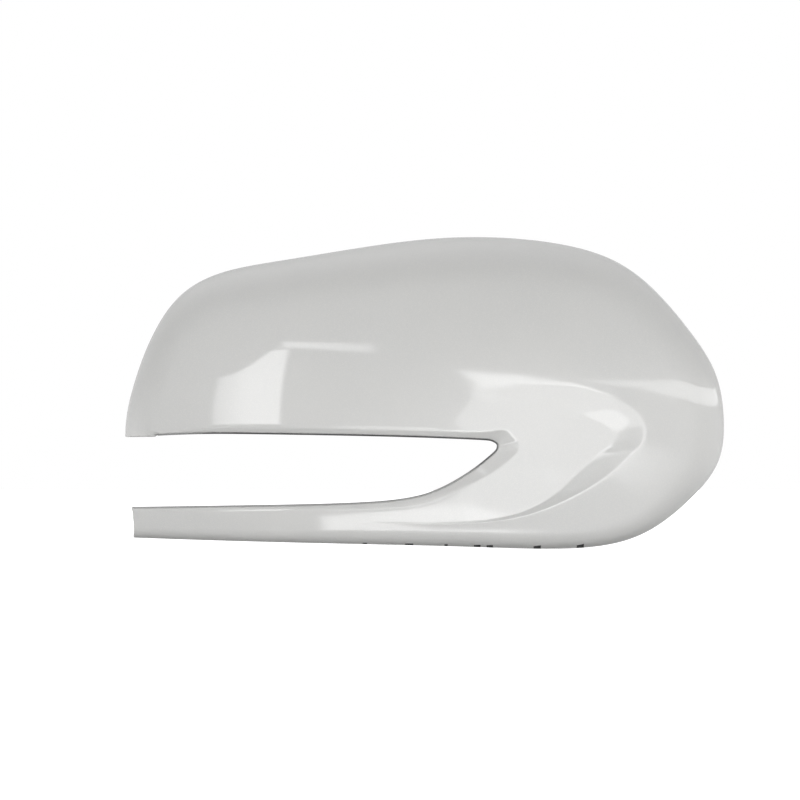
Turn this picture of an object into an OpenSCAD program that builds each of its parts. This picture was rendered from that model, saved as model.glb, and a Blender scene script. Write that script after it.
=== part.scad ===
// Wing mirror cover: one moulded shell with an open lamp slot, seen from the front at -Y.
// X runs from the outboard end to the inboard end, Y runs back to the rim, Z is up.
// The origin is under the middle of the bounding box, at the lower edge.

/* [Cover] */
// Length from the outboard end to the inboard end
cover_l = 250; // [220:1:280]
// Height from the lower edge to the crown
cover_h = 130; // [118:1:145]
// Depth from the foremost point to the rim at the crown
cover_d = 78; // [74:1:90]
// How much nearer the front the rim lies at the lower edge
rim_lean = 26; // [16:1:30]
// Thickness of the moulded wall
wall = 2.5; // [2:0.1:2.8]

/* [Front face] */
// How far the face sweeps back to the inboard end
sweep = 32; // [24:1:38]
// How far the face falls back from its foremost height to the crown
crown_drop = 27; // [20:1:30]
// How far the face falls back from its foremost height to the lower edge
chin_drop = 8; // [5:0.5:11]
// Depth of the rolled edge for each millimetre of its width
roll_ratio = 0.9; // [0.7:0.05:1]

/* [Lamp slot] */
// Depth of the bevel round the nose of the slot
bevel_d = 2.6; // [1.5:0.1:3]
// How far the lip stands back from the edge of the slot
lip_d = 5; // [4:0.5:7]
// Thickness of the lip
lip_t = 1.8; // [1.4:0.1:2.2]
// How far the back of the lip leans into the slot
lip_lean = 0.8; // [0:0.1:1]

/* [Scoop] */
// Depth of the scoop's floor at the foot of its step
scoop_d = 3; // [1:0.1:3.5]
// How far the crest of the step stands proud of the face
crest_h = 0.6; // [0:0.1:0.8]

/* [Lugs] */
// Width of a snap lug
lug_w = 11; // [7:0.5:14]
// How far a snap lug stands in from the wall
lug_h = 2.4; // [1.6:0.1:3.2]
// Length of a snap lug from its catch to the end of its ramp
lug_l = 8; // [6:0.5:10]
// Distance of the catch from the rim
lug_back = 5; // [4:0.5:7]

/* [Pegs] */
// Radius of a locating peg
peg_r = 2.5; // [2:0.1:3]
// Length of a locating peg past its shoulder
peg_l = 8; // [6:0.5:10]
// Radius of the post that carries a peg
post_r = 3.6; // [3.5:0.1:4]
// Depth of the shoulder behind the foremost point
shoulder_y = 46; // [42:1:50]

/* [Ribs] */
// Thickness of a rib
rib_t = 1.6; // [1.2:0.1:2]
// Height of a rib off the inner face
rib_h = 7; // [4:0.5:9]

/* [Drain slots] */
// Length of the drain slots from front to back
drain_l = 7; // [4:0.5:9]
// Width of the widest drain slot
drain_w = 3.4; // [2:0.1:4]

/* [Hidden] */

// The net is drawn for a cover 250 long and 130 high. Each curve has one value a station. The stations
// run from the slot over the outboard end, the crown, the inboard end and along the lower edge back to
// the open end. The first and last stations lie past the ends and only steer the curves.
drawn_l = 250;
drawn_h = 130;
stretch_x = cover_l / drawn_l;
stretch_z = cover_h / drawn_h;
outline_drawn = [
    [-123.8, 32.7], [-125.1, 46.5], [-123.6, 60.3], [-119.3, 75.4], [-113.0, 90.4], [-102.4, 105.4],
    [-84.1, 115.5], [-56.3, 120.9], [-22.9, 126.3], [10.5, 129.9], [43.9, 129.0], [73.2, 122.9],
    [94.0, 109.9], [110.8, 90.8], [121.7, 72.6], [125.0, 53.2], [122.4, 35.7], [110.8, 20.6],
    [93.4, 7.3], [71.9, 0.9], [43.9, 0.0], [10.5, 1.0], [-31.3, 2.0], [-77.2, 3.1],
    [-121.7, 4.5], [-164.9, 6.0]
];
slot_drawn = [
    [-119.0, 47.0], [-111.5, 47.8], [-103.5, 48.2], [-94.3, 48.5], [-84.3, 48.6], [-72.6, 48.5],
    [-58.8, 48.3], [-40.5, 48.0], [-16.6, 47.5], [6.3, 46.8], [22.6, 46.1], [27.6, 45.6],
    [29.7, 44.6], [30.6, 43.4], [30.6, 42.1], [30.1, 40.9], [29.0, 39.7], [26.6, 37.6],
    [21.6, 33.6], [13.6, 28.4], [2.2, 23.0], [-15.8, 19.5], [-47.1, 18.0], [-84.7, 17.3],
    [-122.3, 16.7], [-159.1, 16.3]
];
// Width of the rolled edge
roll_drawn = [12, 12, 13, 14.5, 16, 18.5, 21, 23, 24, 24, 23, 22, 20, 18, 15.5, 14.5, 13.5, 11.5, 9.5, 8, 7,
    6.5, 6, 5.5, 5, 4.5];
// Each ray runs from the slot's edge, at 0, to the foot of the rolled edge, at 1. The next three curves
// are places along the rays: the outer edge of the bevel, and the foot and crest of the scoop's step.
bevel_at = [.1, .1, .066, .05, .046, .045, .045, .044, .041, .038, .042, .064, .09, .094, .107, .112, .111,
    .105, .096, .081, .094, .168, .164, .16, .17, .17];
foot_at = [.3, .3, .3, .3, .3, .3, .3, .3, .3, .31, .3, .3, .33, .42, .49, .6, .545, .5, .515, .555,
    .65, .7, .62, .5, .5, .5];
crest_at = [.42, .42, .42, .42, .42, .42, .42, .42, .425, .43, .405, .41, .47, .605, .7, .765, .73, .675,
    .615, .62, .7, .76, .69, .62, .6, .6];
// Depth of the bevel and of the scoop and height of the crest, as shares of their greatest values
bevel_share = [0, 0, .15, .25, .35, .42, .46, .46, .46, .46, .54, .7, .85, .92, 1, 1, 1, .92, .85, .73,
    .62, .54, .42, .3, .2, .2];
scoop_share = [0, 0, 0, 0, 0, 0, 0, 0, 0, .3, .6, .8, .9, 1, 1, 1, 1, 1, .95, .6,
    .25, .05, 0, 0, 0, 0];
crest_share = [0, 0, 0, 0, 0, 0, 0, 0, 0, 0, 0, .1, .25, .5, .8, 1, 1, 1, .9, .6,
    .3, .1, 0, 0, 0, 0];

// A smooth curve through one value a station: its control values, and the curve and its slope at u
function relaxed(v, c, rounds) = rounds <= 0 ? c : relaxed(v, [
    for (i = [0 : len(v) - 1]) i == 0 || i == len(v) - 1 ? v[i] : (6 * v[i] - c[i - 1] - c[i + 1]) / 4
], rounds - 1);
relax_rounds = 16;
function smooth(v) = relaxed(v, v, relax_rounds);
function weighed(c, i, w) = (w[0] * c[i - 1] + w[1] * c[i] + w[2] * c[i + 1] + w[3] * c[i + 2]) / 6;
function span(c, u) = min(floor(u), len(c) - 3);
function on_curve(c, u) = let (i = span(c, u), f = u - i)
    weighed(c, i, [(1 - f) ^ 3, 3 * f ^ 3 - 6 * f ^ 2 + 4, 3 * f + 3 * f ^ 2 - 3 * f ^ 3 + 1, f ^ 3]);
function slope(c, u) = let (i = span(c, u), f = u - i)
    weighed(c, i, [-3 * (1 - f) ^ 2, 9 * f ^ 2 - 12 * f, 3 + 6 * f - 9 * f ^ 2, 3 * f ^ 2]);
function unit(v) = v / norm(v);

outline = smooth([for (p = outline_drawn) [p[0] * stretch_x, p[1] * stretch_z]]);
slot = smooth([for (p = slot_drawn) [p[0] * stretch_x, p[1] * stretch_z]]);
roll = smooth(roll_drawn);
bevel = smooth(bevel_at);
foot = smooth(foot_at);
crest = smooth(crest_at);
bevel_depth = smooth(bevel_share * bevel_d);
scoop_depth = smooth(scoop_share * scoop_d);
crest_height = smooth(crest_share * crest_h);
first_u = 1;
last_u = len(outline_drawn) - 2;

// The plain face, before any edge or scoop: it sweeps back along X and falls back above and below
fore_x = -12 * stretch_x;
fore_z = 52 * stretch_z;
function fall(z) = z > fore_z
    ? crown_drop * ((z - fore_z) / (cover_h - fore_z)) ^ 2
    : chin_drop * ((fore_z - z) / fore_z) ^ 2;
function face_y(x, z) = sweep * ((x - fore_x) / (cover_l / 2 - fore_x)) ^ 2 + fall(z) - cover_d / 2;
function rim_y(z) = cover_d / 2 - rim_lean * (1 - z / cover_h);

// Places in the front view: v runs from -1 at the outline to 0 at the foot of the rolled edge, then along
// the ray to 1 at the slot's edge
roll_power = 2.5;
function outward(u) = let (d = unit(slope(outline, u))) [-d[1], d[0]];
function roll_foot(u) = on_curve(outline, u) - on_curve(roll, u) * outward(u);
function ray(u) = roll_foot(u) - on_curve(slot, u);
function in_front_view(u, v) = v < 0
    ? on_curve(outline, u) - on_curve(roll, u) * (1 - sin(-90 * v) ^ (2 / roll_power)) * outward(u)
    : on_curve(slot, u) + (1 - v) * ray(u);
function rolled(u, v) = v < 0 ? roll_ratio * on_curve(roll, u) * (1 - cos(90 * v)) : 0;
function plain(u, v) = let (p = in_front_view(u, v)) [p[0], face_y(p[0], p[1]) + rolled(u, v), p[1]];
step = 0.004;
function inward(u, v) = unit(cross(
    plain(min(u + step, last_u), v) - plain(max(u - step, first_u), v),
    plain(u, min(v + step, 1)) - plain(u, max(v - step, -1))));

// Depth that the bevel and the scoop add, at the share t of the ray from the slot's edge. The scoop's floor
// tilts down from a hinge line to the foot of its step. The crest of the step stands a little proud, and
// the face falls back from it to the rolled edge.
bevel_blend = 0.06;
foot_blend = 0.1;
crest_blend = 0.05;
hinge_blend = 0.1;
fall_blend = 0.03;
hinge = [14 * stretch_x, 64 * stretch_z];
downhill = [0.64, -0.77];
hinge_to_foot = 60;
function above_zero(a, blend) = (a + sqrt(a ^ 2 + blend ^ 2)) / 2;
function lesser(a, b, blend) = (a + b - sqrt((a - b) ^ 2 + blend ^ 2)) / 2;
function floor_depth(u, t) = let (down = (on_curve(slot, u) + t * ray(u) - hinge) * downhill / hinge_to_foot)
    on_curve(scoop_depth, u) * above_zero(down, hinge_blend);
function in_scoop(f, c, t) = above_zero(lesser((c - t) / (c - f), 1, foot_blend), crest_blend);
function fallen(c, t) = min(above_zero((t - c) / (1 - c), fall_blend), 1);
function sunk(u, t) = let (c = on_curve(crest, u), proud = on_curve(crest_height, u))
    on_curve(bevel_depth, u) * above_zero(1 - t / on_curve(bevel, u), bevel_blend)
    + (floor_depth(u, t) + proud) * in_scoop(on_curve(foot, u), c, t)
    - proud * (1 - fallen(c, t)) ^ 2;
function outer(u, v) = plain(u, v) + [0, v < 0 ? 0 : sunk(u, 1 - v), 0];
function inner(u, v, depth) = outer(u, v) + depth * inward(u, v);

// Places of the mesh along each section, crowded where the bevel and the step turn. Those on the ray are
// shares of the stretch past the crest, of the step, of the floor and of the bevel.
roll_places = [-1, -0.8, -0.6, -0.42, -0.27, -0.14, 0];
past_crest = [0.66, 0.33];
round_crest = [0.1, 0, -0.12];
round_foot = [0.2, 0, -0.25];
on_floor = [0.6, 0.3];
on_bevel = [1.25, 1, 0.8, 0];
function ray_places(b, f, c) = concat(
    [for (k = past_crest) c + k * (1 - c)],
    [for (k = round_crest) c + k * (c - f)],
    [for (k = round_foot) f + k * (c - f)],
    [for (k = on_floor) b + k * (f - b)],
    [for (k = on_bevel) k * b]);
function places(u) = concat(
    roll_places,
    [for (t = ray_places(on_curve(bevel, u), on_curve(foot, u), on_curve(crest, u))) 1 - t]);

// The lip stands back from the slot's edge, and its root takes at most this share of a short ray
most_lip = 0.5;
function into_wall(u) = let (d = unit(slope(slot, u))) [-d[1], d[0]];
function lip_share(u) = min(most_lip, lip_t / (into_wall(u) * ray(u)));
function lip_room(u) = min(lip_t, norm(ray(u)) * most_lip);
function lip_back(u, off) = let (q = on_curve(slot, u) + off * into_wall(u), edge = outer(u, 1))
    [q[0], edge[1] + lip_d, q[1]];
function at_rim(p) = [p[0], rim_y(p[2]), p[2]];

// One closed section at u: along the outside to the lip, then back along the inside to the rim
function outside(u) = let (v = places(u)) concat(
    [at_rim(outer(u, -1))], [for (a = v) outer(u, a)], [lip_back(u, -lip_lean)]);
function inside(u) = let (v = places(u), s = lip_share(u)) concat(
    [at_rim(inner(u, -1, wall))], [for (a = v) inner(u, a < 0 ? a : a * (1 - s), wall)],
    [lip_back(u, lip_room(u) - lip_lean)]);
function turned(list) = [for (i = [len(list) - 1 : -1 : 0]) list[i]];

// Sections of the mesh: more of them in each span of the slot's nose and the inboard end
nose_from = 11;
nose_to = 18;
function slices(i) = i >= nose_from && i <= nose_to ? 5 : 4;
section_us = concat(
    [for (i = [first_u : last_u - 1]) for (k = [0 : slices(i) - 1]) i + k / slices(i)],
    [last_u]);

module shell() {
    sections = [for (u = section_us) concat(outside(u), turned(inside(u)))];
    ring = len(sections[0]);
    half = ring / 2;
    last = len(sections) - 1;
    points = [for (s = sections) for (p = s) p];
    sides = [for (j = [0 : last - 1]) for (k = [0 : ring - 1])
        let (a = j * ring + k, b = j * ring + (k + 1) % ring)
            each [[a, b + ring, b], [a, a + ring, b + ring]]];
    caps = [for (k = [0 : half - 2])
        let (a = k, b = ring - 1 - k, c = last * ring + a, d = last * ring + b)
            each [[a, b - 1, b], [a, a + 1, b - 1], [c, d, d - 1], [c, d - 1, c + 1]]];
    polyhedron(points, concat(sides, caps));
}

// Puts its children on the side wall at u: local X runs along the wall, Y back and Z out
module on_wall(u, y) {
    p = on_curve(outline, u);
    d = slope(outline, u);
    translate([p[0], y, p[1]]) rotate([0, -atan2(d[1], d[0]), 0]) children();
}

// A snap lug: a steep catch that faces the front, a flat top, and a ramp down towards the rim. What is
// moulded on to the wall sinks into it by root.
root = 0.8;
flat_share = 0.3;
module lug(u) {
    p = on_curve(outline, u);
    top = lug_h + root;
    on_wall(u, rim_y(p[1]) - lug_back - lug_l)
        translate([-lug_w / 2, 0, -wall + root])
            rotate([90, 0, 90])
                linear_extrude(lug_w)
                    polygon([[0, 0], [lug_l, 0], [lug_l, -root], [lug_l * flat_share, -top], [0, -top]]);
}

// A stiffening rib that follows the inner face at u, from the side wall towards the slot. Its height
// falls over the last stretch to a low end.
rib_from = -0.9;
rib_to = 0.45;
rib_steps = 8;
rib_fall = 0.25;
rib_end = 0.2;
module rib(u) {
    spots = [for (i = [0 : rib_steps]) rib_from + (rib_to - rib_from) * i / rib_steps];
    low = [for (v = spots) inner(u, v, wall - root)];
    high = [for (v = spots)
        inner(u, v, wall + rib_h * min(1, (rib_to - v) / (rib_to - rib_from) / rib_fall + rib_end))];
    middle = low[rib_steps / 2][0];
    translate([middle - rib_t / 2, 0, 0])
        rotate([90, 0, 90])
            linear_extrude(rib_t)
                polygon([for (p = concat(low, turned(high))) [p[1], p[2]]]);
}

// A locating peg on a post with four fins, standing back from the face at x and z
post_root = 0.3;
fin_reach = 5;
fin_t = 1.5;
fin_l = 16;
round_sides = 48;
module rod(x, y, z, r, length) {
    translate([x, y, z]) rotate([-90, 0, 0]) cylinder(r = r, h = length, $fn = round_sides);
}
module peg(x, z) {
    root_y = max([for (t = [0 : 30 : 330]) face_y(x + post_r * cos(t), z + post_r * sin(t))]) + post_root;
    shoulder = shoulder_y - cover_d / 2;
    far = post_r + fin_reach;
    rod(x, root_y, z, post_r, shoulder - root_y);
    rod(x, shoulder - root, z, peg_r, peg_l + root);
    for (turn = [0 : 90 : 270]) {
        far_y = face_y(x + far * cos(turn), z - far * sin(turn)) + root - root_y;
        translate([x, root_y, z]) rotate([0, turn, 0]) translate([0, 0, -fin_t / 2])
            linear_extrude(fin_t)
                polygon([[0, 0], [far, far_y], [post_r, fin_l], [0, fin_l]]);
    }
}

// Drain slots along the lower edge: place along X and share of the greatest width. Each starts a little
// behind the face and is cut from under the edge up past the inner face.
drains = [[-25, 0.5], [-6.6, 1], [8.8, 0.4], [21.8, 0.8], [27, 0.8], [46.8, 0.9], [64.8, 0.9]];
drain_back = 2;
cut_under = 1;
cut_over = 4;
module drain(x, share) {
    w = drain_w * share;
    translate([x - w / 2, face_y(x, 0) + drain_back, -cut_under])
        cube([w, drain_l, cut_under + wall + cut_over]);
}

// Stations of the lugs and ribs, and places of the pegs in the front view
lug_us = [6.5, 8.5, 10.6, 15.2, 19.5, 21.6, 23.3];
rib_us = [7.5, 8.2, 9];
pegs = [[-62, 76], [56, 77], [91, 32]];

module mirror_cover() {
    color([0.83, 0.83, 0.82])
    difference() {
        union() {
            shell();
            for (u = lug_us) lug(u);
            for (u = rib_us) rib(u);
            for (p = pegs) peg(p[0] * stretch_x, p[1] * stretch_z);
        }
        for (d = drains) drain(d[0] * stretch_x, d[1]);
    }
}

mirror_cover();
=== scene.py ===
"""Looks of a wing mirror cover: one painted shell with an open lamp slot and a sunken scoop.

The CAD model is the frame. The shell is drawn again here from the same stations and formulas, on a fine mesh
with softened edges, and takes the place of the CAD node. Lengths are in millimetres until a mesh is made.
"""

import bmesh
import bpy
import numpy as np
from mathutils import Matrix, Vector
from mathutils.kdtree import KDTree


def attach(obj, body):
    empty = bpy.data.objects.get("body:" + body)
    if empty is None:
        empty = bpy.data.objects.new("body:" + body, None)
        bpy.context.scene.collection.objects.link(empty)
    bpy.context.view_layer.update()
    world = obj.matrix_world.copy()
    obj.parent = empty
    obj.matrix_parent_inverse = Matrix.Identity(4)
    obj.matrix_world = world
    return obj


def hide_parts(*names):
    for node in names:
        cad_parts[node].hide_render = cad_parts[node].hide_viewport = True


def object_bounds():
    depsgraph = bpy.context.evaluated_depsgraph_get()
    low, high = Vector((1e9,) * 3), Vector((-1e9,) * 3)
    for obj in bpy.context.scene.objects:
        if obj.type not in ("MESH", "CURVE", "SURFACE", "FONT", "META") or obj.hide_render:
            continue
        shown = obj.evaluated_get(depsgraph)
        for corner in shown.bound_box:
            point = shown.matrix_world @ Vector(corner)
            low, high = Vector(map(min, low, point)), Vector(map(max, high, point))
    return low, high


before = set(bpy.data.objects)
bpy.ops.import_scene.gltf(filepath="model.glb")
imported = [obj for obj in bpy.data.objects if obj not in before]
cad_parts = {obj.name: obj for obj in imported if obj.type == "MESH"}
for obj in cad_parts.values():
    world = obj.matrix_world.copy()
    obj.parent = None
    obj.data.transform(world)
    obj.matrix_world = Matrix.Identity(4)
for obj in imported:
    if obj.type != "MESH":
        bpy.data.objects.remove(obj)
cad_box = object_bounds()

MM = 0.001
BODY = "root"
NODE = "mirror_cover"

# Sizes of the cover, as in the part's source
COVER_L = 250.0
COVER_H = 130.0
COVER_D = 78.0
RIM_LEAN = 26.0
WALL = 2.5
SWEEP = 32.0
CROWN_DROP = 27.0
CHIN_DROP = 8.0
ROLL_RATIO = 0.9
ROLL_POWER = 2.5
FORE_X = -12.0
FORE_Z = 52.0
BEVEL_D = 2.6
SCOOP_D = 3.0
SCOOP_RUN = 60.0
SCOOP_HINGE = (14.0, 64.0)
SCOOP_DOWN = (0.64, -0.77)
CREST_H = 0.6
LIP_D = 5.0
LIP_T = 1.8
LIP_LEAN = 0.8
# The most that the lip takes of the way from the slot's edge to the rolled edge
MOST_LIP = 0.5
# How softly the scoop's forms turn into each other, as shares of their runs
FOOT_BLEND = 0.1
CREST_BLEND = 0.05
HINGE_BLEND = 0.1
FALL_BLEND = 0.03

# Stations of the net, from the slot over the outboard end, the crown and the inboard end and along the
# lower edge. The first and last lie past the ends and only steer the curves.
OUTLINE = [
    [-123.8, 32.7], [-125.1, 46.5], [-123.6, 60.3], [-119.3, 75.4], [-113.0, 90.4], [-102.4, 105.4],
    [-84.1, 115.5], [-56.3, 120.9], [-22.9, 126.3], [10.5, 129.9], [43.9, 129.0], [73.2, 122.9],
    [94.0, 109.9], [110.8, 90.8], [121.7, 72.6], [125.0, 53.2], [122.4, 35.7], [110.8, 20.6],
    [93.4, 7.3], [71.9, 0.9], [43.9, 0.0], [10.5, 1.0], [-31.3, 2.0], [-77.2, 3.1],
    [-121.7, 4.5], [-164.9, 6.0],
]
SLOT_EDGE = [
    [-119.0, 47.0], [-111.5, 47.8], [-103.5, 48.2], [-94.3, 48.5], [-84.3, 48.6], [-72.6, 48.5],
    [-58.8, 48.3], [-40.5, 48.0], [-16.6, 47.5], [6.3, 46.8], [22.6, 46.1], [27.6, 45.6],
    [29.7, 44.6], [30.6, 43.4], [30.6, 42.1], [30.1, 40.9], [29.0, 39.7], [26.6, 37.6],
    [21.6, 33.6], [13.6, 28.4], [2.2, 23.0], [-15.8, 19.5], [-47.1, 18.0], [-84.7, 17.3],
    [-122.3, 16.7], [-159.1, 16.3],
]
# At each station: the width of the rolled edge, then the places of the bevel's end, the step's foot and its
# crest as shares of the ray from the slot's edge to the rolled edge, then the shares of the full depths
ROLL = [12, 12, 13, 14.5, 16, 18.5, 21, 23, 24, 24, 23, 22, 20, 18, 15.5, 14.5, 13.5, 11.5, 9.5, 8, 7,
        6.5, 6, 5.5, 5, 4.5]
BEVEL_AT = [.1, .1, .066, .05, .046, .045, .045, .044, .041, .038, .042, .064, .09, .094, .107, .112, .111,
            .105, .096, .081, .094, .168, .164, .16, .17, .17]
FOOT_AT = [.3, .3, .3, .3, .3, .3, .3, .3, .3, .31, .3, .3, .33, .42, .49, .6, .545, .5, .515, .555,
           .65, .7, .62, .5, .5, .5]
CREST_AT = [.42, .42, .42, .42, .42, .42, .42, .42, .425, .43, .405, .41, .47, .605, .7, .765, .73, .675,
            .615, .62, .7, .76, .69, .62, .6, .6]
BEVEL_SHARE = [0, 0, .15, .25, .35, .42, .46, .46, .46, .46, .54, .7, .85, .92, 1, 1, 1, .92, .85, .73,
               .62, .54, .42, .3, .2, .2]
SCOOP_SHARE = [0, 0, 0, 0, 0, 0, 0, 0, 0, .3, .6, .8, .9, 1, 1, 1, 1, 1, .95, .6,
               .25, .05, 0, 0, 0, 0]
CREST_SHARE = [0, 0, 0, 0, 0, 0, 0, 0, 0, 0, 0, .1, .25, .5, .8, 1, 1, 1, .9, .6,
               .3, .1, 0, 0, 0, 0]
FIRST_U = 1.0
LAST_U = len(OUTLINE) - 2.0

# What is moulded on to the hidden side
ROOT = 0.8
LUG_W = 11.0
LUG_H = 2.4
LUG_L = 8.0
LUG_BACK = 5.0
FLAT_SHARE = 0.3
LUG_US = [6.5, 8.5, 10.6, 15.2, 19.5, 21.6, 23.3]
RIB_T = 1.6
RIB_H = 7.0
RIB_FROM = -0.9
RIB_TO = 0.45
RIB_STEPS = 24
RIB_FALL = 0.25
RIB_END = 0.2
RIB_US = [7.5, 8.2, 9]
PEG_R = 2.5
PEG_L = 8.0
PEG_TIP = 0.6
POST_R = 3.6
POST_ROOT = 0.3
SHOULDER_Y = 46.0
FIN_REACH = 5.0
FIN_T = 1.5
FIN_L = 16.0
PEGS = [(-62, 76), (56, 77), (91, 32)]
DRAIN_L = 7.0
DRAIN_W = 3.4
DRAIN_BACK = 2.0
CUT_UNDER = 1.0
CUT_OVER = 4.0
DRAINS = [(-25, 0.5), (-6.6, 1), (8.8, 0.4), (21.8, 0.8), (27, 0.8), (46.8, 0.9), (64.8, 0.9)]

# Fineness of the mesh, and the radii that soften its cut edges
SLICES_PER_SPAN = 14
ROLL_STEPS = 26
RAY_STEPS = 88
WALL_STEPS = 8
LIP_STEPS = 2
EDGE_STEPS = 5
BEVEL_SOFT = 0.8
SLOT_RADIUS = 0.45
CUT_RADIUS = 0.3
END_RADIUS = 0.35
# The most of a side that a softened corner takes, and of a span that an end is pulled back
MOST_SOFTENED = 0.45
MOST_PULLED = 0.4
SMALLEST_GAP = 1e-6
# The face's point, counted back from the slot's edge, from which that edge is softened
SLOT_SIDE = 4
# A ray's points crowd at the bevel's end, the crest and the foot: width as a share of the ray, and density
RAY_SAMPLES = 900
BEVEL_CROWD = (0.018, 3.0)
CREST_CROWD = (0.03, 3.0)
FOOT_CROWD = (0.06, 1.2)
ROD_SIDES = 64
CREASE_DEGREES = 32


# Smooth curves through one value a station

def smooth(values):
    """Control values of the curve that passes the values."""
    rounds = 16
    values = np.array(values, float)
    control = values.copy()
    for _ in range(rounds):
        control[1:-1] = (6 * values[1:-1] - control[:-2] - control[2:]) / 4
    return control


def weighed(control, u, weights):
    """The curve's four control values round u, weighed by the four functions of the place in the span."""
    span = np.minimum(np.floor(u).astype(int), len(control) - 3)
    parts = weights(u - span)
    if control.ndim == 2:
        parts = [p[..., None] for p in parts]
    return sum(p * control[span + k] for p, k in zip(parts, (-1, 0, 1, 2))) / 6


def on_curve(control, u):
    return weighed(control, u, lambda f: [
        (1 - f) ** 3, 3 * f ** 3 - 6 * f ** 2 + 4, 3 * f + 3 * f ** 2 - 3 * f ** 3 + 1, f ** 3])


def slope(control, u):
    return weighed(control, u, lambda f: [
        -3 * (1 - f) ** 2, 9 * f ** 2 - 12 * f, 3 + 6 * f - 9 * f ** 2, 3 * f ** 2])


def unit(vectors):
    return vectors / np.linalg.norm(vectors, axis=-1, keepdims=True)


outline = smooth(OUTLINE)
slot_edge = smooth(SLOT_EDGE)
roll = smooth(ROLL)
bevel = smooth(BEVEL_AT)
foot = smooth(FOOT_AT)
crest = smooth(CREST_AT)
bevel_depth = smooth(np.array(BEVEL_SHARE) * BEVEL_D)
scoop_depth = smooth(np.array(SCOOP_SHARE) * SCOOP_D)
crest_height = smooth(np.array(CREST_SHARE) * CREST_H)


# The surface, point by point: u is the station, v the place along the section

def face_y(x, z):
    above = CROWN_DROP * ((z - FORE_Z) / (COVER_H - FORE_Z)) ** 2
    below = CHIN_DROP * ((FORE_Z - z) / FORE_Z) ** 2
    sideways = SWEEP * ((x - FORE_X) / (COVER_L / 2 - FORE_X)) ** 2
    return sideways + np.where(z > FORE_Z, above, below) - COVER_D / 2


def rim_y(z):
    return COVER_D / 2 - RIM_LEAN * (1 - z / COVER_H)


def left_of(directions):
    """Unit vectors a quarter turn to the left of directions in the front view."""
    d = unit(directions)
    return np.stack([-d[..., 1], d[..., 0]], -1)


def ray(u):
    roll_foot = on_curve(outline, u) - on_curve(roll, u)[..., None] * left_of(slope(outline, u))
    return roll_foot - on_curve(slot_edge, u)


def plain(u, v):
    """The face with its rolled edge, but without bevel and scoop.

    v is -1 at the outline, 0 where the rolled edge meets the face, and 1 at the slot's edge.
    """
    width = on_curve(roll, u)
    out = left_of(slope(outline, u))
    turn = np.radians(90 * np.clip(-v, 0, 1))
    offset = width * (1 - np.sin(turn) ** (2 / ROLL_POWER))
    on_roll = on_curve(outline, u) - offset[..., None] * out
    on_ray = on_curve(slot_edge, u) + (1 - v)[..., None] * ray(u)
    place = np.where((v < 0)[..., None], on_roll, on_ray)
    rolled = np.where(v < 0, ROLL_RATIO * width * (1 - np.cos(turn)), 0)
    return np.stack([place[..., 0], face_y(place[..., 0], place[..., 1]) + rolled, place[..., 1]], -1)


def inward(u, v):
    """Unit normal of the plain face, into the wall."""
    step = 0.004
    along = plain(np.minimum(u + step, LAST_U), v) - plain(np.maximum(u - step, FIRST_U), v)
    across = plain(u, np.minimum(v + step, 1)) - plain(u, np.maximum(v - step, -1))
    return unit(np.cross(along, across))


def above_zero(a, blend):
    return (a + np.sqrt(a ** 2 + blend ** 2)) / 2


def lesser(a, b, blend):
    return (a + b - np.sqrt((a - b) ** 2 + blend ** 2)) / 2


def sunk(u, t):
    """Depth that the bevel and the scoop add, at the share t of the ray from the slot's edge.

    The scoop's floor tilts down from a hinge line to the foot of its step. The crest of the step stands a
    little proud, and the face falls back from it to the rolled edge.
    """
    b, f, c = on_curve(bevel, u), on_curve(foot, u), on_curve(crest, u)
    place = on_curve(slot_edge, u) + t[..., None] * ray(u)
    down = sum((place[..., k] - SCOOP_HINGE[k]) * SCOOP_DOWN[k] for k in (0, 1)) / SCOOP_RUN
    floor = on_curve(scoop_depth, u) * above_zero(down, HINGE_BLEND)
    in_scoop = above_zero(lesser((c - t) / (c - f), 1, FOOT_BLEND), CREST_BLEND)
    fall = np.minimum(above_zero((t - c) / (1 - c), FALL_BLEND), 1)
    raised = on_curve(crest_height, u)
    soft = BEVEL_SOFT / (b * np.linalg.norm(ray(u), axis=-1))
    return (on_curve(bevel_depth, u) * above_zero(1 - t / b, soft)
            + (floor + raised) * in_scoop - raised * (1 - fall) ** 2)


def outer(u, v):
    place = plain(u, v)
    place[..., 1] += np.where(v < 0, 0, sunk(u, 1 - v))
    return place


def inner(u, v, depth):
    return outer(u, v) + np.asarray(depth)[..., None] * inward(u, v)


# Sections of the fine mesh

def ray_shares(u):
    """Shares of the ray, from 1 down to 0, closer together where the bevel and the step turn."""
    fine = np.linspace(0, 1, RAY_SAMPLES)
    b, f, c = on_curve(bevel, u)[:, None], on_curve(foot, u)[:, None], on_curve(crest, u)[:, None]
    crowding = [(b, *BEVEL_CROWD), (c, *CREST_CROWD), (f, *FOOT_CROWD)]
    density = 1 + sum(weight * np.exp(-((fine - at) / width) ** 2) for at, width, weight in crowding)
    reached = np.cumsum(density, 1)
    reached = (reached - reached[:, :1]) / (reached[:, -1:] - reached[:, :1])
    steps = np.linspace(0, 1, RAY_STEPS)
    return np.array([np.interp(steps, row, fine) for row in reached])[:, ::-1]


def softened(before, corner, after, radius):
    """Points of a small arc in place of a corner, from the side of before to the side of after."""
    def towards(target):
        gap = np.linalg.norm(target - corner, axis=-1, keepdims=True)
        return corner + (target - corner) * np.minimum(radius / gap, MOST_SOFTENED)
    a, b = towards(before), towards(after)
    shares = np.linspace(0, 1, EDGE_STEPS)[:, None, None]
    arc = (1 - shares) ** 2 * a + 2 * shares * (1 - shares) * corner + shares ** 2 * b
    return np.swapaxes(arc, 0, 1)


def between(a, b, count):
    """Points spread evenly from a to b, without a and b themselves."""
    shares = np.linspace(0, 1, count + 2)[1:-1, None, None]
    return np.swapaxes(a + shares * (b - a), 0, 1)


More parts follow.
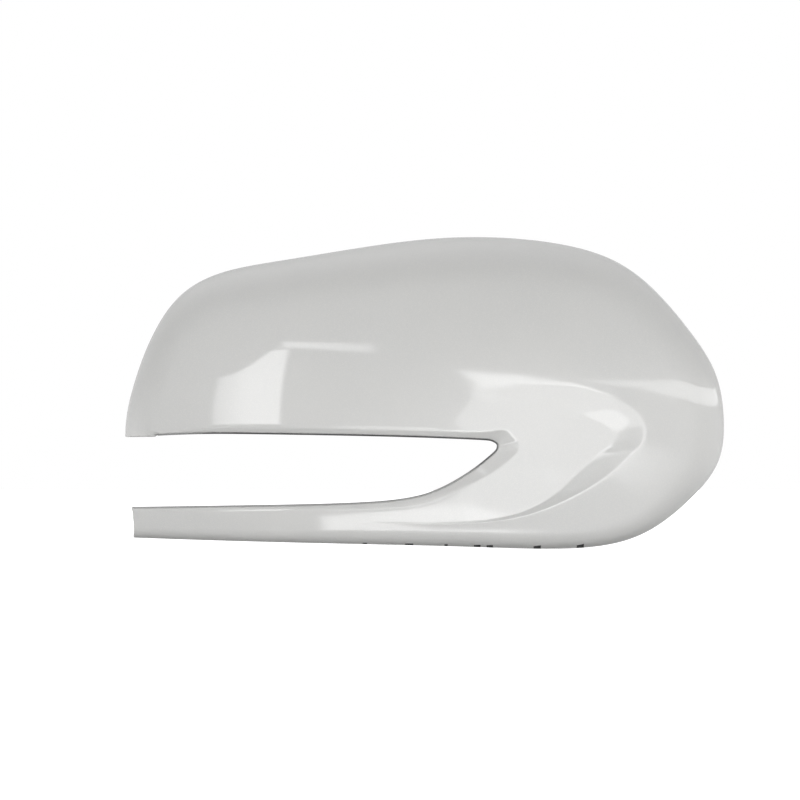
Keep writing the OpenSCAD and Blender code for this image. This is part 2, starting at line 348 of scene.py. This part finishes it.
def shell_rings():
    """Rings of the shell, one a station: the outside from the rim to the lip, then the inside back."""
    spans = int(LAST_U - FIRST_U)
    us = np.linspace(FIRST_U, LAST_U, spans * SLICES_PER_SPAN + 1)
    roll_v = -np.linspace(1, 0, ROLL_STEPS, endpoint=False) ** (ROLL_POWER / 2)
    ray_v = 1 - ray_shares(us)
    v = np.concatenate([np.tile(roll_v, (len(us), 1)), ray_v], 1)
    u = np.tile(us[:, None], (1, v.shape[1]))

    def at_rim(points):
        return np.stack([points[:, 0], rim_y(points[:, 2]), points[:, 2]], -1)

    into_wall = left_of(slope(slot_edge, us))
    lengths = np.linalg.norm(ray(us), axis=-1)
    lip_share = np.minimum(MOST_LIP, LIP_T / (into_wall * ray(us)).sum(-1))
    lip_room = np.minimum(LIP_T, lengths * MOST_LIP)
    outside = outer(u, v)
    inner_v = np.where(v < 0, v, v * (1 - lip_share[:, None]))
    inside = inner(u, inner_v, np.full(v.shape, WALL))

    def lip_back(offset):
        place = on_curve(slot_edge, us) + offset[:, None] * into_wall
        return np.stack([place[:, 0], outside[:, -1, 1] + LIP_D, place[:, 1]], -1)

    back_in_slot = lip_back(np.full(len(us), -LIP_LEAN))
    back_in_wall = lip_back(lip_room - LIP_LEAN)
    rim_out, rim_in = at_rim(outside[:, 0]), at_rim(inside[:, 0])

    def half(rim, other_rim, face, lip, other_lip, face_radius):
        return np.concatenate([
            softened(other_rim, rim, face[:, 0], CUT_RADIUS),
            between(rim, face[:, 0], WALL_STEPS),
            face[:, :-1],
            softened(face[:, -SLOT_SIDE], face[:, -1], lip, face_radius),
            between(face[:, -1], lip, LIP_STEPS),
            softened(face[:, -1], lip, other_lip, CUT_RADIUS),
        ], 1)

    out_half = half(rim_out, rim_in, outside, back_in_slot, back_in_wall, SLOT_RADIUS)
    in_half = half(rim_in, rim_out, inside, back_in_wall, back_in_slot, CUT_RADIUS)
    return out_half, in_half


def end_rings(out_half, in_half, which):
    """The end section drawn in towards the middle of the wall, a little past a softened edge."""
    middle = (out_half[which] + in_half[which]) / 2
    share = END_RADIUS / (WALL / 2)
    return [half_rings[which] + (middle - half_rings[which]) * share for half_rings in (out_half, in_half)]


def pull_back(out_half, in_half, which, towards):
    """Moves the end section a softened edge's width towards its neighbour."""
    for half_rings in (out_half, in_half):
        step = half_rings[towards] - half_rings[which]
        gap = np.linalg.norm(step, axis=-1, keepdims=True)
        half_rings[which] += step * np.minimum(END_RADIUS / np.maximum(gap, SMALLEST_GAP), MOST_PULLED)


def make_shell():
    """The shell as a closed mesh. The paint ends at the slot's edge and just inside the rim."""
    out_half, in_half = shell_rings()
    ends = []
    for which, towards in ((0, 1), (-1, -2)):
        ends.append(end_rings(out_half, in_half, which))
        pull_back(out_half, in_half, which, towards)
    out_half = np.concatenate([ends[0][0][None], out_half, ends[1][0][None]])
    in_half = np.concatenate([ends[0][1][None], in_half, ends[1][1][None]])
    rings = np.concatenate([out_half, in_half[:, ::-1]], 1)
    count, size = rings.shape[:2]
    points = rings.reshape(-1, 3)
    j, k = np.meshgrid(np.arange(count - 1), np.arange(size), indexing="ij")
    a, b = (j * size + k).ravel(), (j * size + (k + 1) % size).ravel()
    faces = np.stack([a, b, b + size, a + size], 1).tolist()
    last = (count - 1) * size
    for n in range(size // 2 - 1):
        front, back = n, size - 1 - n
        faces.append([front, back, back - 1, front + 1])
        faces.append([last + front, last + front + 1, last + back - 1, last + back])
    mesh = bpy.data.meshes.new("mirror_cover_shell")
    mesh.from_pydata((points * MM).tolist(), [], faces)
    slot_arc_end = size // 2 - EDGE_STEPS - LIP_STEPS - 1
    painted = (np.arange(size) < slot_arc_end) | (np.arange(size) >= size - EDGE_STEPS)
    bare = np.zeros(len(faces), bool)
    bare[:(count - 1) * size] = np.tile(~painted, count - 1)
    mesh.polygons.foreach_set("material_index", bare.astype(np.int32))
    return mesh


# Small closed forms, each a profile drawn out by a thickness

def prism(profile, thickness, place, name):
    """A closed prism of a profile in its own XY plane, drawn out along Z and put in place."""
    made = bmesh.new()
    low = [made.verts.new(place @ Vector((x, y, 0))) for x, y in profile]
    high = [made.verts.new(place @ Vector((x, y, thickness))) for x, y in profile]
    made.faces.new(low[::-1])
    made.faces.new(high)
    for n in range(len(profile)):
        m = (n + 1) % len(profile)
        made.faces.new([low[n], low[m], high[m], high[n]])
    bmesh.ops.recalc_face_normals(made, faces=made.faces)
    return finished(made, name)


def finished(made, name):
    """An object in metres from a bmesh in millimetres."""
    bmesh.ops.scale(made, vec=Vector((MM, MM, MM)), verts=made.verts)
    for face in made.faces:
        face.material_index = 1
    mesh = bpy.data.meshes.new(name)
    made.to_mesh(mesh)
    made.free()
    return covered(new_object(name, mesh))


def covered(made):
    """Gives an object the paint and the bare plastic, in this order."""
    for material in (paint, moulding):
        made.data.materials.append(material)
    return made


def new_object(name, mesh):
    made = bpy.data.objects.new(name, mesh)
    bpy.context.scene.collection.objects.link(made)
    return made


def basis(origin, x_axis, y_axis, z_axis):
    columns = Matrix((x_axis, y_axis, z_axis)).transposed().to_4x4()
    return Matrix.Translation(Vector(origin)) @ columns


def lug(u):
    """A snap lug: a steep catch towards the front, a flat top and a ramp down towards the rim."""
    at = np.array(u)
    p, d = on_curve(outline, at), unit(slope(outline, at))
    out = np.array([-d[1], d[0]])
    start = rim_y(p[1]) - LUG_BACK - LUG_L
    top = LUG_H + ROOT
    profile = [(0, 0), (LUG_L, 0), (LUG_L, -ROOT), (LUG_L * FLAT_SHARE, -top), (0, -top)]
    corner = p - out * (WALL - ROOT) - d * LUG_W / 2
    place = basis((corner[0], start, corner[1]), (0, 1, 0), (out[0], 0, out[1]), (d[0], 0, d[1]))
    return prism(profile, LUG_W, place, "lug")


def rib(u):
    """A stiffening rib that follows the inner face and falls away to a low end."""
    v = np.linspace(RIB_FROM, RIB_TO, RIB_STEPS + 1)
    us = np.full(v.shape, float(u))
    height = RIB_H * np.minimum(1, (RIB_TO - v) / (RIB_TO - RIB_FROM) / RIB_FALL + RIB_END)
    low = inner(us, v, np.full(v.shape, WALL - ROOT))
    high = inner(us, v, WALL + height)
    middle = low[len(v) // 2, 0]
    profile = [(p[1], p[2]) for p in np.concatenate([low, high[::-1]])]
    place = basis((middle - RIB_T / 2, 0, 0), (0, 1, 0), (0, 0, 1), (1, 0, 0))
    return prism(profile, RIB_T, place, "rib")


def rod(x, y, z, radius, length, tip, name):
    """A round rod along Y with a chamfered far end."""
    made = bmesh.new()
    turns = [2 * np.pi * n / ROD_SIDES for n in range(ROD_SIDES)]
    rings = []
    for back, r in ((0, radius), (length - tip, radius), (length, radius - tip)):
        rings.append([made.verts.new((x + r * np.cos(a), y + back, z + r * np.sin(a))) for a in turns])
    for near, far in zip(rings, rings[1:]):
        for n in range(ROD_SIDES):
            m = (n + 1) % ROD_SIDES
            made.faces.new([near[n], near[m], far[m], far[n]])
    made.faces.new(rings[0])
    made.faces.new(rings[-1])
    bmesh.ops.recalc_face_normals(made, faces=made.faces)
    return finished(made, name)


def peg(x, z):
    """A locating peg on a post with four fins that follow the face."""
    degrees_apart = 30
    turns = np.radians(np.arange(0, 360, degrees_apart))
    root_y = face_y(x + POST_R * np.cos(turns), z + POST_R * np.sin(turns)).max() + POST_ROOT
    shoulder = SHOULDER_Y - COVER_D / 2
    far = POST_R + FIN_REACH
    parts = [
        rod(x, root_y, z, POST_R, shoulder - root_y, CUT_RADIUS, "post"),
        rod(x, shoulder - ROOT, z, PEG_R, PEG_L + ROOT, PEG_TIP, "peg"),
    ]
    for turn in np.radians([0, 90, 180, 270]):
        reach = (np.cos(turn), 0, -np.sin(turn))
        side = (-np.sin(turn), 0, -np.cos(turn))
        far_y = float(face_y(x + far * reach[0], z + far * reach[2])) + ROOT - root_y
        profile = [(0, 0), (far, far_y), (POST_R, FIN_L), (0, FIN_L)]
        corner = (x - side[0] * FIN_T / 2, root_y, z - side[2] * FIN_T / 2)
        parts.append(prism(profile, FIN_T, basis(corner, reach, (0, 1, 0), side), "fin"))
    return parts


def drain(x, share):
    """What a drain slot takes out of the lower edge."""
    w = DRAIN_W * share
    front = float(face_y(x, 0)) + DRAIN_BACK
    profile = [(0, 0), (w, 0), (w, DRAIN_L), (0, DRAIN_L)]
    place = basis((x - w / 2, front, -CUT_UNDER), (1, 0, 0), (0, 1, 0), (0, 0, 1))
    return prism(profile, CUT_UNDER + WALL + CUT_OVER, place, "drain")


def combine(piece, others, operation):
    """Joins others to piece or cuts them from it, and deletes them."""
    for other in others:
        modifier = piece.modifiers.new(operation, "BOOLEAN")
        modifier.operation = operation
        modifier.solver = "MANIFOLD"
        modifier.object = other
    evaluated = piece.evaluated_get(bpy.context.evaluated_depsgraph_get())
    mesh = bpy.data.meshes.new_from_object(evaluated)
    piece.modifiers.clear()
    old = piece.data
    piece.data = mesh
    bpy.data.meshes.remove(old)
    for other in others:
        bpy.data.meshes.remove(other.data)


def shade(piece, sharp_degrees):
    """Smooth shading, with a crease wherever two faces meet at more than sharp_degrees."""
    made = bmesh.new()
    made.from_mesh(piece.data)
    for face in made.faces:
        face.smooth = True
    for edge in made.edges:
        edge.smooth = len(edge.link_faces) == 2 and edge.calc_face_angle(0) < np.radians(sharp_degrees)
    made.to_mesh(piece.data)
    made.free()


def make_cover():
    cover = covered(new_object("cover", make_shell()))
    pegs = [part for x, z in PEGS for part in peg(x, z)]
    combine(cover, [lug(u) for u in LUG_US] + [rib(u) for u in RIB_US] + pegs, "UNION")
    combine(cover, [drain(x, share) for x, share in DRAINS], "DIFFERENCE")
    shade(cover, CREASE_DEGREES)
    return cover


# Materials: colours of the paint and the bare moulding
WHITE = (0.624, 0.624, 0.612, 1)
WHITE_SHADE = (0.602, 0.604, 0.595, 1)
FLAKE_TINT = (0.658, 0.653, 0.638, 1)
PLASTIC = (0.040, 0.041, 0.043, 1)
PLASTIC_SHADE = (0.055, 0.056, 0.058, 1)

# How many features a metre each pattern has, and the depth of the ones that stand out, in metres
PAINT_CLOUDS = 22.0
PAINT_PATCHES = 60.0
FLAKES = 5200.0
FLAKE_DEPTH = 0.000004
PEEL = 260.0
PEEL_DEPTH = 0.0000035
PLASTIC_CLOUDS = 35.0
PLASTIC_PATCHES = 90.0
GRAIN = 1400.0
GRAIN_DEPTH = 0.00002
SPECKS = 1600.0

# Roughness of the surfaces, in patches between two values, and of the clear coat
PAINT_ROUGHNESS = (0.38, 0.46)
PLASTIC_ROUGHNESS = (0.42, 0.56)
COAT_ROUGHNESS = 0.035
COAT_IOR = 1.5

# The values between which most of a noise lies, the flakes that show, how much the specks shift the mist,
# and the mist at which the paint starts to show and at which it covers
NOISE_RANGE = (0.3, 0.7)
SHOWN_FLAKES = (0.55, 1.0)
SPECK_SHIFT = 0.35
MIST_RANGE = (0.35, 0.9)


def noise(nodes, links, place, scale, detail=2.0):
    """A noise texture over the object's own coordinates, with scale features a metre."""
    made = nodes.new("ShaderNodeTexNoise")
    made.inputs["Scale"].default_value = scale
    made.inputs["Detail"].default_value = detail
    links.new(place.outputs["Object"], made.inputs["Vector"])
    return made.outputs["Fac"]


def ranged(nodes, links, value, low, high, source=NOISE_RANGE):
    """value, with the source range spread over low to high."""
    made = nodes.new("ShaderNodeMapRange")
    made.inputs["From Min"].default_value, made.inputs["From Max"].default_value = source
    made.inputs["To Min"].default_value, made.inputs["To Max"].default_value = low, high
    links.new(value, made.inputs["Value"])
    return made.outputs["Result"]


def mixed(nodes, links, share, first, second):
    """A colour between first and second, each a colour or a socket."""
    made = nodes.new("ShaderNodeMix")
    made.data_type = "RGBA"
    links.new(share, made.inputs["Factor"])
    for name, colour in (("A", first), ("B", second)):
        socket = [i for i in made.inputs if i.name == name and i.type == "RGBA"][0]
        if isinstance(colour, tuple):
            socket.default_value = colour
        else:
            links.new(colour, socket)
    return [o for o in made.outputs if o.type == "RGBA"][0]


def bumped(nodes, links, height, depth, before=None):
    """A normal that a height field of the given depth in metres disturbs."""
    made = nodes.new("ShaderNodeBump")
    made.inputs["Strength"].default_value = 1.0
    made.inputs["Distance"].default_value = depth
    links.new(height, made.inputs["Height"])
    if before is not None:
        links.new(before, made.inputs["Normal"])
    return made.outputs["Normal"]


def new_material(name):
    made = bpy.data.materials.new(name)
    made.use_nodes = True
    nodes, links = made.node_tree.nodes, made.node_tree.links
    return made, nodes, links, nodes["Principled BSDF"], nodes.new("ShaderNodeTexCoord")


def pearl_colour(nodes, links, place):
    """White with faint clouds and fine pearl flakes, and a value for each flake's tilt."""
    clouds = ranged(nodes, links, noise(nodes, links, place, PAINT_CLOUDS), 0.0, 1.0)
    base = mixed(nodes, links, clouds, WHITE, WHITE_SHADE)
    flakes = nodes.new("ShaderNodeTexVoronoi")
    flakes.inputs["Scale"].default_value = FLAKES
    links.new(place.outputs["Object"], flakes.inputs["Vector"])
    apart = nodes.new("ShaderNodeSeparateColor")
    links.new(flakes.outputs["Color"], apart.inputs[0])
    shown = ranged(nodes, links, apart.outputs[0], 0.0, 1.0, SHOWN_FLAKES)
    return mixed(nodes, links, shown, base, FLAKE_TINT), apart.outputs[1]


def paint_material():
    """Pearl white paint: fine flakes under a clear coat that has a trace of orange peel."""
    made, nodes, links, shader, place = new_material("pearl_paint")
    colour, flake_tilt = pearl_colour(nodes, links, place)
    links.new(colour, shader.inputs["Base Color"])
    patches = noise(nodes, links, place, PAINT_PATCHES)
    links.new(ranged(nodes, links, patches, *PAINT_ROUGHNESS), shader.inputs["Roughness"])
    links.new(bumped(nodes, links, flake_tilt, FLAKE_DEPTH), shader.inputs["Normal"])
    peel = noise(nodes, links, place, PEEL, detail=1.0)
    links.new(bumped(nodes, links, peel, PEEL_DEPTH), shader.inputs["Coat Normal"])
    shader.inputs["Coat Weight"].default_value = 1.0
    shader.inputs["Coat Roughness"].default_value = COAT_ROUGHNESS
    shader.inputs["Coat IOR"].default_value = COAT_IOR
    return made


def moulding_material():
    """Dark grey moulded plastic with a fine grain, and paint mist where the spray reached past an edge.

    Where the lip faces up, the mist's white is partly a painted highlight.
    """
    made, nodes, links, shader, place = new_material("bare_moulding")
    clouds = ranged(nodes, links, noise(nodes, links, place, PLASTIC_CLOUDS, detail=4.0), 0.0, 1.0)
    plastic = mixed(nodes, links, clouds, PLASTIC, PLASTIC_SHADE)
    mist_and_highlight = nodes.new("ShaderNodeAttribute")
    mist_and_highlight.attribute_name = "mist_and_highlight"
    specks = ranged(nodes, links, noise(nodes, links, place, SPECKS, detail=3.0), -SPECK_SHIFT, SPECK_SHIFT)
    reach = nodes.new("ShaderNodeMath")
    reach.operation = "ADD"
    links.new(mist_and_highlight.outputs["Fac"], reach.inputs[0])
    links.new(specks, reach.inputs[1])
    share = ranged(nodes, links, reach.outputs[0], 0.0, 1.0, MIST_RANGE)
    # The white mixed in here is paint mist, and on the up-facing lower lip partly a painted highlight
    links.new(mixed(nodes, links, share, plastic, WHITE_SHADE), shader.inputs["Base Color"])
    patches = noise(nodes, links, place, PLASTIC_PATCHES)
    links.new(ranged(nodes, links, patches, *PLASTIC_ROUGHNESS), shader.inputs["Roughness"])
    grain = noise(nodes, links, place, GRAIN, detail=3.0)
    links.new(bumped(nodes, links, grain, GRAIN_DEPTH), shader.inputs["Normal"])
    return made


# Paint mist falls away over these distances: behind the slot's edge, the second where the lip faces up or
# lies far outboard, and in front of the rim. Where the lip faces up, the longer reach is partly a painted
# highlight: it whitens the lip in place of the light that it catches from above.
LIP_MIST = 1.1
LOWER_LIP_MIST_AND_HIGHLIGHT = 30.0
RIM_MIST = 5.0
# and to the side of each edge, from the first distance on for the lip
LIP_WIDTH = 1.0
LIP_MIST_SIDE = 0.5
RIM_MIST_SIDE = 4.0
# How much the slot's edge faces up, and how far outboard it lies, where the second distance starts to count
# and where it counts in full
FACING_UP = (0.78, 0.98)
OUTBOARD_X = (-90, -110)
MIST_SAMPLES = 4000


def share_between(value, start, end):
    """How far value has come from start to end, from 0 to 1."""
    return np.clip((value - start) / (end - start), 0, 1)


def eased(share):
    """A share from 0 to 1 that starts and ends gently."""
    return share * share * (3 - 2 * share)


def nearest(places, spots):
    """For each place, which of the spots is nearest in the front view, and how far away it is."""
    tree = KDTree(len(spots))
    for n, (x, z) in enumerate(spots):
        tree.insert((x, 0, z), n)
    tree.balance()
    found = np.array([tree.find((x, 0, z))[1:] for x, z in places])
    return found[:, 0].astype(int), found[:, 1]


def add_mist(piece):
    """States for each vertex how much paint mist reached it, from 1 at an edge of the paint to 0.

    Where the lip faces up the mist reaches further, and there it is partly a painted highlight.
    """
    mesh = piece.data
    places = np.array([v.co for v in mesh.vertices]) / MM
    front_view = places[:, [0, 2]]
    us = np.linspace(FIRST_U, LAST_U, MIST_SAMPLES)
    edge = outer(us, np.ones(us.shape))
    # Where the lip faces up, the longer mist stands in part for light from above: a painted highlight
    facing_up = share_between(-left_of(slope(slot_edge, us))[:, 1], *FACING_UP)
    outboard = share_between(edge[:, 0], *OUTBOARD_X)
    fade = LIP_MIST + (LOWER_LIP_MIST_AND_HIGHLIGHT - LIP_MIST) * np.maximum(facing_up, outboard)
    spot, apart = nearest(front_view, edge[:, [0, 2]])
    behind_edge = np.clip(places[:, 1] - edge[spot, 1], 0, None)
    beside_lip = np.clip(apart - LIP_WIDTH, 0, None) / LIP_MIST_SIDE
    near_slot = np.exp(-behind_edge / fade[spot] - beside_lip ** 2)
    before_rim = np.clip(rim_y(places[:, 2]) - places[:, 1], 0, None)
    inside_rim = nearest(front_view, on_curve(outline, us))[1]
    near_rim = np.exp(-before_rim / RIM_MIST - (inside_rim / RIM_MIST_SIDE) ** 2)
    mist_and_highlight = mesh.attributes.new("mist_and_highlight", "FLOAT", "POINT")
    mist_and_highlight.data.foreach_set("value", np.maximum(near_slot, near_rim).astype(np.float32))


def build():
    cover = make_cover()
    add_mist(cover)
    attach(cover, BODY)
    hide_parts(NODE)


# Light comes from directions round the cover. Azimuth is 0 at the camera and grows to its right, and angles
# are in degrees. The stage's lengths are in metres, and its target is the place that the light surrounds.
TARGET = np.array([0, -0.03, 0.06])
DOME_RADIUS = 60.0
DOME_DETAIL = 5
BOX_DISTANCE = 50.0
# Sheets that carry the soft boxes: their azimuths, their elevations and the step of their net
LEFT_SHEET = ((-33, -2), (-6, 36), 0.25)
RIGHT_SHEET = ((-16, 134), (-34, 24), 0.4)
DARKEST = 0.02
GLOW_WIDTH = 30.0
# Broad lights, each a bell round one direction: azimuth, elevation, strength
GLOWS = [
    (-150, 55, 1.04), (-90, 55, 0.07), (-30, 55, 0.46), (150, 55, 0.36),
    (-130, 20, 0.2), (130, 20, 0.18), (170, 20, 0.31),
    (-170, -15, 0.44), (-130, -15, 0.84), (-90, -15, 1.72), (-20, -15, 0.1), (20, -15, 0.95), (90, -15, 0.5),
    (130, -15, 0.75), (170, -15, 0.09),
]
# Elevations between which the ground takes the broad lights away
GROUND = (-72.0, -22.0)
# Soft boxes with clear edges: strength, softness of the edge and corners, then the two azimuths between
# which the light changes and its shares there, or None where it stays the same
BOXES = {
    "left_box": (
        5.4, 0.5, [
            (-29.7, -4), (-19.1, -4), (-19.1, 30.2), (-22.1, 29.6), (-25, 23.4), (-27, 20.2), (-29.7, 18.4)],
        (-29.7, -25, 0.55, 1)),
    "left_streak": (
        4.0, 0.7, [
            (-20.5, 30.9), (-15, 30.8), (-10, 30.1), (-3.9, 29.5), (-3.9, 33.2), (-10, 33.4), (-20.5, 33.1)],
        (-15, -4, 1, 0.55)),
    "right_box": (
        2.1, 0.6, [
            (11, 22), (20, 20.4), (30, 17.9), (36, 13), (40, 7), (42, 1), (42, -6), (38, -14), (35, -20),
            (30, -25), (26, -28.5), (18, -30.5), (-13, -30), (-13, -25.5), (2, -22.5), (9, -18), (13.5, -15),
            (13.5, -8), (12.5, -4), (11.5, 0), (14.5, 8), (13.8, 15)],
        None),
    "right_box_top": (
        3.2, 2.5, [(11, 22), (20, 20.4), (30, 17.9), (36, 14), (30, 9), (25, 7), (18, 8), (14, 12)],
        None),
    "right_box_foot": (
        3.0, 1.9, [
            (16, -17.5), (25, -17.5), (33, -18), (30, -25), (26, -28.5), (18, -30.5), (-13, -30),
            (-13, -25.5), (2, -22.5), (9, -20)],
        None),
    "low_box": (2.5, 1.0, [(-10.5, -6), (8, -6), (9, -15), (-10.5, -15)], None),
    "halo": (
        2.6, 1.5, [
            (38, -7.5), (43.8, -6.8), (44.9, -8), (44.4, -10.5), (43, -14), (40.5, -18), (37, -18)],
        None),
    "far_strip": (
        3.1, 0.6, [
            (31, 19.3), (36, 18.7), (41, 17.3), (44.5, 16.1), (52, 17.2), (61, 18.7), (88, 18), (110, 15),
            (132, 11), (132, 6.5), (113, 7), (76, 9), (49.5, 8.5), (45.6, 9.4), (44, 11.6), (42.3, 13.7),
            (41, 15.3), (38, 16.7), (34, 18.2)],
        (85, 130, 1, 0.6)),
}


def directions(azimuth, elevation):
    a, e = np.radians(azimuth), np.radians(elevation)
    return np.stack([np.sin(a) * np.cos(e), -np.cos(a) * np.cos(e), np.sin(e)], -1)


def glow(ways):
    """Brightness of the broad lights together, in the directions ways."""
    total = np.full(ways.shape[:-1], DARKEST)
    for azimuth, elevation, strength in GLOWS:
        apart = np.degrees(np.arccos(np.clip(ways @ directions(azimuth, elevation), -1, 1)))
        total += strength * np.exp(-(apart / GLOW_WIDTH) ** 2)
    elevation = np.degrees(np.arcsin(np.clip(ways[..., 2], -1, 1)))
    return total * eased(share_between(elevation, *GROUND) ** 2)


def soft_polygon(azimuth, elevation, corners, softness):
    """1 inside the corners and 0 outside, with a soft edge."""
    place = np.stack([azimuth, elevation], -1)
    apart = np.full(azimuth.shape, np.inf)
    inside = np.zeros(azimuth.shape, bool)
    corners = np.array(corners, float)
    for start, end in zip(corners, np.roll(corners, -1, 0)):
        side = end - start
        share = np.clip(((place - start) @ side) / (side @ side), 0, 1)
        apart = np.minimum(apart, np.linalg.norm(place - start - share[..., None] * side, axis=-1))
        if start[1] != end[1]:
            crosses = (start[1] > elevation) != (end[1] > elevation)
            inside ^= crosses & (azimuth < start[0] + (elevation - start[1]) * side[0] / side[1])
    return eased(share_between(np.where(inside, apart, -apart), -softness, softness))


def boxes_light(azimuth, elevation, names):
    """Brightness of the named soft boxes together."""
    total = np.zeros(azimuth.shape)
    for name in names:
        strength, softness, corners, change = BOXES[name]
        light = strength * soft_polygon(azimuth, elevation, corners, softness)
        if change:
            light *= np.interp(azimuth, change[:2], change[2:])
        total += light
    return total


def lamp_material():
    """Light of the brightness that each vertex of the mesh states."""
    made = bpy.data.materials.new("lamp")
    made.use_nodes = True
    nodes, links = made.node_tree.nodes, made.node_tree.links
    nodes.remove(nodes["Principled BSDF"])
    emission = nodes.new("ShaderNodeEmission")
    brightness = nodes.new("ShaderNodeAttribute")
    brightness.attribute_name = "brightness"
    links.new(brightness.outputs["Fac"], emission.inputs["Strength"])
    links.new(emission.outputs[0], nodes["Material Output"].inputs["Surface"])
    made.cycles.emission_sampling = "FRONT"
    return made


def add_lamp(name, mesh, brightness, material):
    """Puts a light mesh on the stage, seen by the cover's surfaces alone."""
    values = mesh.attributes.new("brightness", "FLOAT", "POINT")
    values.data.foreach_set("value", brightness.astype(np.float32))
    mesh.materials.append(material)
    lamp = new_object(name, mesh)
    lamp.location = TARGET
    only_seen_by(lamp, ("diffuse", "glossy"))


def add_dome(material):
    """The broad lights, as one dome round everything."""
    made = bmesh.new()
    bmesh.ops.create_icosphere(made, subdivisions=DOME_DETAIL, radius=DOME_RADIUS)
    bmesh.ops.reverse_faces(made, faces=made.faces)
    mesh = bpy.data.meshes.new("dome")
    made.to_mesh(mesh)
    made.free()
    places = np.array([v.co for v in mesh.vertices])
    add_lamp("dome", mesh, glow(unit(places)), material)


def add_boxes(name, names, azimuths, elevations, step, material):
    """Soft boxes as one curved sheet before the dome, without the parts that add nothing to it."""
    az, el = np.meshgrid(np.arange(*azimuths, step), np.arange(*elevations, step), indexing="ij")
    ways = directions(az, el)
    added = boxes_light(az, el, names)
    count, size = az.shape
    j, k = np.meshgrid(np.arange(count - 1), np.arange(size - 1), indexing="ij")
    a = (j * size + k).ravel()
    faces = np.stack([a, a + 1, a + size + 1, a + size], 1)
    faces = faces[(added.ravel()[faces] > 0).any(1)]
    used, faces = np.unique(faces, return_inverse=True)
    places = ways.reshape(-1, 3)[used] * BOX_DISTANCE
    mesh = bpy.data.meshes.new(name)
    mesh.from_pydata(places.tolist(), [], faces.reshape(-1, 4).tolist())
    add_lamp(name, mesh, (glow(ways) + added).ravel()[used], material)


# The photograph's frame: its pixels, the cover's length, middle and lowest point in them, and what one of
# them measures on the cover in millimetres
PIXELS = 800
COVER_PX = 598.5
MIDDLE_PX = 424.85
LOWEST_PX = 548.4
PIXEL_MM = COVER_L / COVER_PX
LENS = 1000.0
SENSOR = 36.0
CLIP_END = 100.0


def add_camera():
    """A camera straight in front of the cover, far away, as the photo has no visible perspective."""
    data = bpy.data.cameras.new("camera")
    data.lens = LENS
    data.sensor_width = SENSOR
    data.clip_end = CLIP_END
    camera = bpy.data.objects.new("camera", data)
    bpy.context.scene.collection.objects.link(camera)
    width = PIXELS * PIXEL_MM * MM
    distance = width * LENS / SENSOR
    x = (PIXELS / 2 - MIDDLE_PX) * PIXEL_MM * MM
    z = (LOWEST_PX - PIXELS / 2) * PIXEL_MM * MM
    camera.location = (x, -distance, z)
    camera.rotation_euler = (np.radians(90), 0, 0)
    bpy.context.scene.camera = camera


def only_seen_by(made, rays):
    """Lets only the named kinds of ray see an object."""
    for kind in ("camera", "diffuse", "glossy", "transmission", "volume_scatter", "shadow"):
        setattr(made, "visible_" + kind, kind in rays)


FLOOR_SIZE = 6.0
FLOOR_GAP = 0.0001
FLOOR_WHITE = (0.9, 0.9, 0.9, 1)
FLOOR_ROUGHNESS = 0.9
FLOOR_GLOW = 0.9


def add_floor():
    """A plain white floor that the camera alone sees, so that it throws no light on to the cover."""
    made = bmesh.new()
    bmesh.ops.create_grid(made, x_segments=1, y_segments=1, size=FLOOR_SIZE)
    mesh = bpy.data.meshes.new("floor")
    made.to_mesh(mesh)
    made.free()
    floor = new_object("floor", mesh)
    floor.location.z = cad_box[0].z - FLOOR_GAP
    only_seen_by(floor, ("camera",))
    material = bpy.data.materials.new("white_floor")
    material.use_nodes = True
    shader = material.node_tree.nodes["Principled BSDF"]
    shader.inputs["Base Color"].default_value = FLOOR_WHITE
    shader.inputs["Roughness"].default_value = FLOOR_ROUGHNESS
    shader.inputs["Specular IOR Level"].default_value = 0.0
    shader.inputs["Emission Color"].default_value = (1, 1, 1, 1)
    shader.inputs["Emission Strength"].default_value = FLOOR_GLOW
    mesh.materials.append(material)


def add_stage():
    """The lights, the floor, and a white background that throws no light."""
    lamp = lamp_material()
    add_dome(lamp)
    add_boxes("left_boxes", ["left_box", "left_streak"], *LEFT_SHEET, lamp)
    right = ["right_box", "right_box_top", "right_box_foot", "low_box", "halo", "far_strip"]
    add_boxes("right_boxes", right, *RIGHT_SHEET, lamp)
    add_floor()
    world = bpy.data.worlds.new("white_background")
    bpy.context.scene.world = world
    world.use_nodes = True
    background = world.node_tree.nodes["Background"]
    background.inputs["Color"].default_value = (1, 1, 1, 1)
    background.inputs["Strength"].default_value = 1.0
    for kind in ("diffuse", "glossy", "transmission", "scatter"):
        setattr(world.cycles_visibility, kind, False)
    bpy.context.scene.view_settings.view_transform = "Standard"


add_camera()
add_stage()
paint = paint_material()
moulding = moulding_material()
build()
